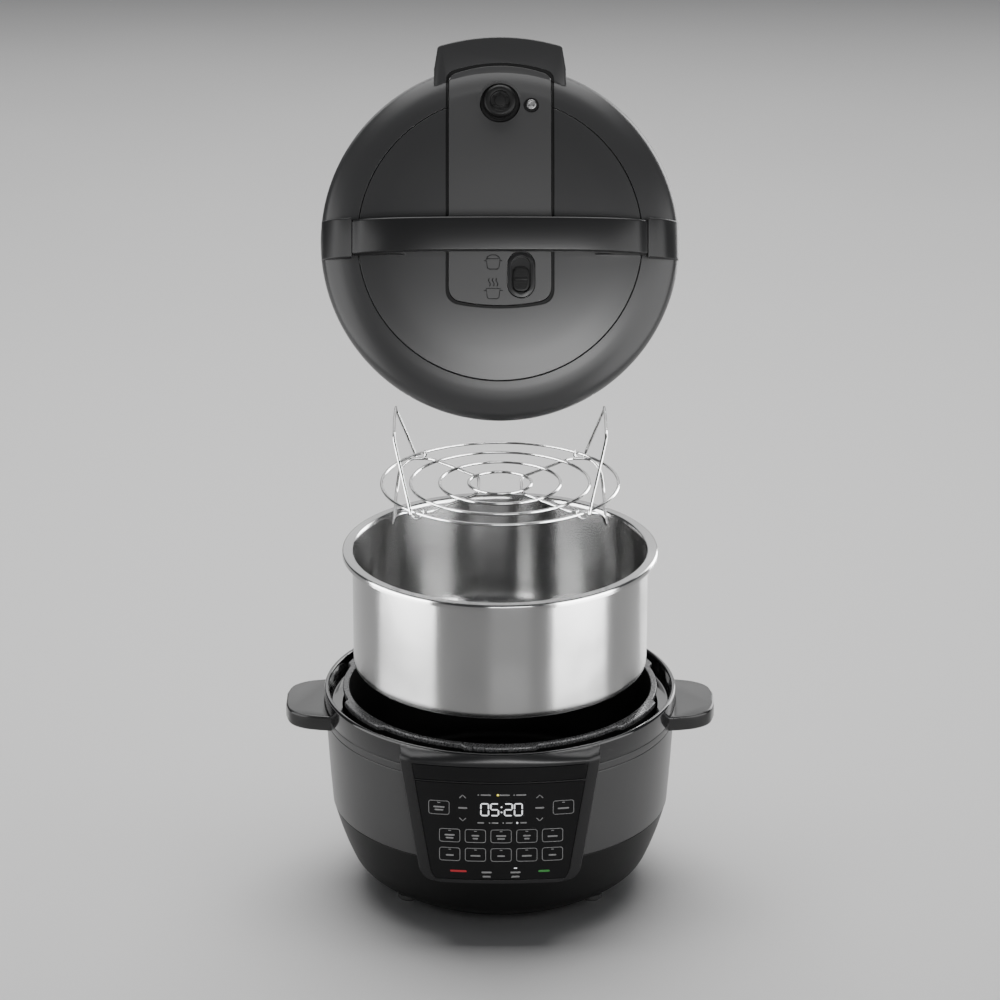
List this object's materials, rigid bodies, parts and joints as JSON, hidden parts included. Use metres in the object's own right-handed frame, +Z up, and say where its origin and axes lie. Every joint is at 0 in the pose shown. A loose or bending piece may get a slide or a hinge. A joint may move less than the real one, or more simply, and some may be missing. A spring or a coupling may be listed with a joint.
{
  "type": "electric pressure cooker",
  "caption": "Round electric pressure cooker drawn as an exploded assembly: black base with front control panel, steel pot, wire rack and tilted lid with arched handle.",
  "frame": {"origin": "centre of the outline on the surface the feet stand on; the turning axis of the pot is 8 mm in front of it", "axes": "+Z up, the control panel faces -Y, +X to the right of someone behind the cooker looking along +Y"},
  "size_m": [0.406, 0.3584, 0.8053],
  "materials": {
    "satin_charcoal": "satin",
    "dark_charcoal": "satin",
    "satin_grey": "satin",
    "matte_black": "matte",
    "gloss_black": "gloss",
    "rubber_black": "matte",
    "mirror_steel": "polished",
    "brushed_steel": "satin",
    "wire_steel": "polished",
    "cast_aluminium": "satin",
    "enamel_black": "satin",
    "silicone_grey": "matte",
    "circuit_green": "satin",
    "smoked_plastic": "gloss"
  },
  "bodies": {
    "base": {"lower_shell": "matte_black", "base_plate": "matte_black", "mid_shell": "satin_grey", "trim_band": "satin_grey", "top_collar": "gloss_black", "pot_well": "enamel_black", "heating_plate": "cast_aluminium", "heating_element": "brushed_steel", "heat_shield": "brushed_steel", "panel_shield": "dark_charcoal", "panel_lens": "gloss_black", "panel_band": "gloss_black", "control_board": "circuit_green", "display_module": "matte_black", "power_board": "circuit_green", "power_inlet": "matte_black", "collector_bracket": "matte_black", "foot_1": "rubber_black", "foot_2": "rubber_black", "foot_3": "rubber_black", "foot_4": "rubber_black", "inlet_pin_1": "brushed_steel", "inlet_pin_2": "brushed_steel", "inlet_pin_3": "brushed_steel", "side_handle_right": "matte_black", "side_handle_left": "matte_black"},
    "pot": {"inner_pot": "mirror_steel"},
    "rack": {"rack_grid": "wire_steel"},
    "rack_handle_right": {"rack_handle_right": "wire_steel"},
    "rack_handle_left": {"rack_handle_left": "wire_steel"},
    "lid_pivot": {"ring_holder": "wire_steel"},
    "lid_seal": {"sealing_ring": "silicone_grey"},
    "steam_valve": {"valve_cap": "dark_charcoal"},
    "float": {"float_valve": "brushed_steel", "float_seal": "silicone_grey"},
    "switch": {"release_switch": "dark_charcoal"},
    "collector": {"collector_cup": "smoked_plastic"},
    "sensor": {"temperature_sensor": "brushed_steel"},
    "lid": {"lid_ring": "satin_charcoal", "lid_dome": "satin_charcoal", "lid_strip": "satin_charcoal", "lid_handle": "satin_charcoal", "handle_end_right": "dark_charcoal", "handle_end_left": "dark_charcoal", "switch_bezel": "dark_charcoal", "steel_lid": "brushed_steel", "lid_nut": "brushed_steel", "vapour_cap": "brushed_steel", "valve_pipe": "brushed_steel"}
  },
  "joints": [
    {"name": "pot_lift", "type": "slide", "parent": "base", "child": "pot", "axis": [0, 0, 1], "range_m": [-0.1325, 0]},
    {"name": "rack_lift", "type": "slide", "parent": "pot", "child": "rack", "axis": [0, 0, 1], "range_m": [-0.1525, 0]},
    {"name": "rack_handle_right_swing", "type": "hinge", "parent": "rack", "child": "rack_handle_right", "pos_m": [0.076, -0.008, 0.399], "axis": [0, 1, 0], "range_deg": [-104, 0]},
    {"name": "rack_handle_left_swing", "type": "hinge", "parent": "rack", "child": "rack_handle_left", "pos_m": [-0.076, -0.008, 0.399], "axis": [0, -1, 0], "range_deg": [-104, 0]},
    {"name": "lid_swing", "type": "hinge", "parent": "rack", "child": "lid_pivot", "pos_m": [0, -0.10925, 0.56975], "axis": [1, 0, 0], "range_deg": [-66, 0]},
    {"name": "lid_turn_in", "type": "hinge", "parent": "lid_pivot", "child": "lid_seal", "pos_m": [0, -0.008, 0.6355], "axis": [0, -0.9135, 0.4067], "range_deg": [0, 30]},
    {"name": "lid_lock", "type": "hinge", "parent": "lid_seal", "child": "lid", "pos_m": [0, -0.008, 0.6355], "axis": [0, -0.9135, 0.4067], "range_deg": [-30, 0]},
    {"name": "switch_slide", "type": "slide", "parent": "lid", "child": "switch", "axis": [0, 0.4067, 0.9135], "range_m": [0, 0.0085]},
    {"name": "valve_rise", "type": "slide", "parent": "lid", "child": "steam_valve", "axis": [0, -0.9135, 0.4067], "range_m": [0, 0.0035]},
    {"name": "float_rise", "type": "slide", "parent": "lid", "child": "float", "axis": [0, -0.9135, 0.4067], "range_m": [0, 0.005]},
    {"name": "collector_pull", "type": "slide", "parent": "base", "child": "collector", "axis": [0, 1, 0], "range_m": [0, 0.04]},
    {"name": "sensor_press", "type": "slide", "parent": "base", "child": "sensor", "axis": [0, 0, 1], "range_m": [-0.003, 0], "stiffness_N_per_m": 400}
  ],
  "couplings": [
    {"joint": "lid_turn_in", "follows": "lid_swing", "ratio": -0.4545},
    {"joint": "valve_rise", "follows": "switch_slide", "ratio": 0.41}
  ]
}
